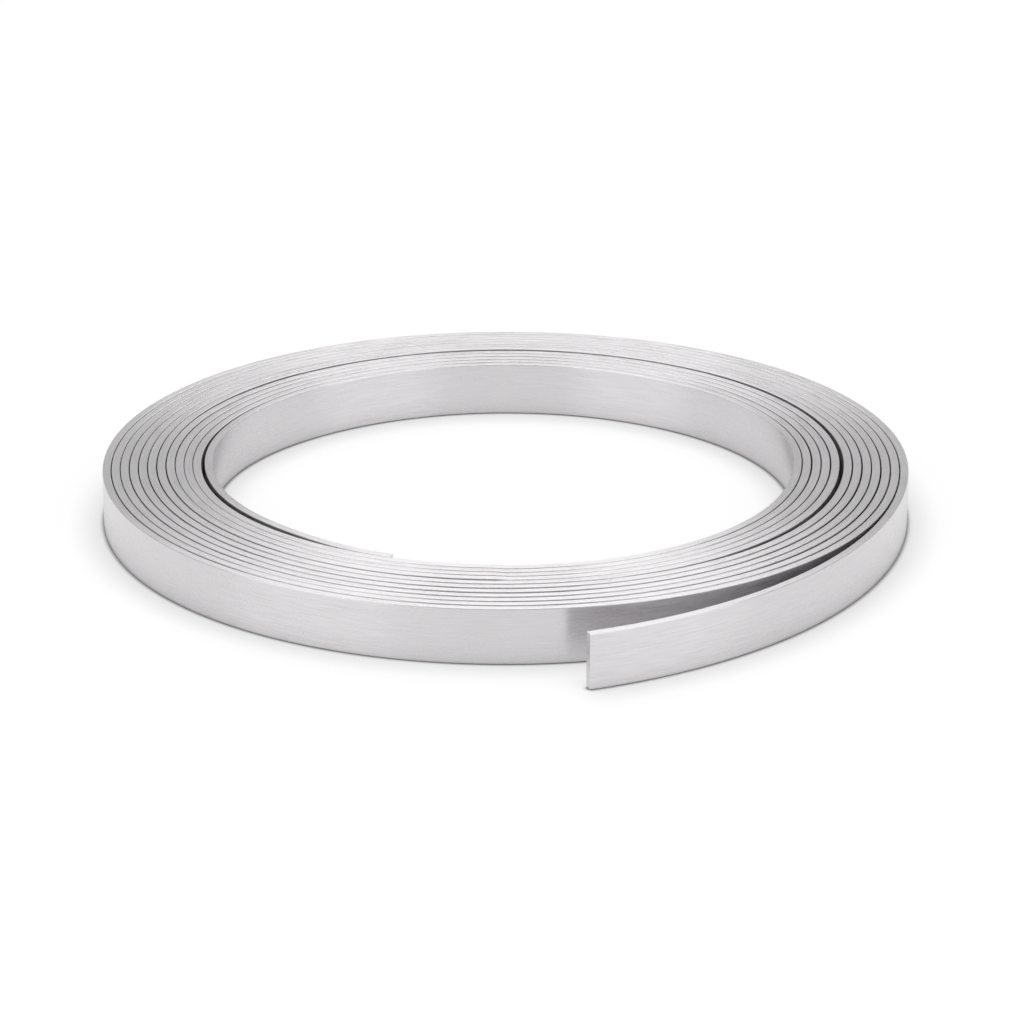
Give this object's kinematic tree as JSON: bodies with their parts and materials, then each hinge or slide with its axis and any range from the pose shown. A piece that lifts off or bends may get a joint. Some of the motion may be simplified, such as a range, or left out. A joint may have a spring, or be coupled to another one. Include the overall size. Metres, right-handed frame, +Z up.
{
  "type": "aluminium flat bar coil",
  "caption": "Flat coil of rectangular aluminium bar with an open bore, a sprung outer end and a free inner end.",
  "frame": {"origin": "on the bore's axis, at the level that the coil lies on", "axes": "+Z up along the bore; the outer end of the bar springs away at the front right, towards +X and -Y"},
  "size_m": [0.2939, 0.3157, 0.02],
  "materials": {
    "aluminium": "mill finish, fine grain along the bar"
  },
  "bodies": {
    "root": {"flat_bar_coil": "aluminium"}
  },
  "joints": []
}
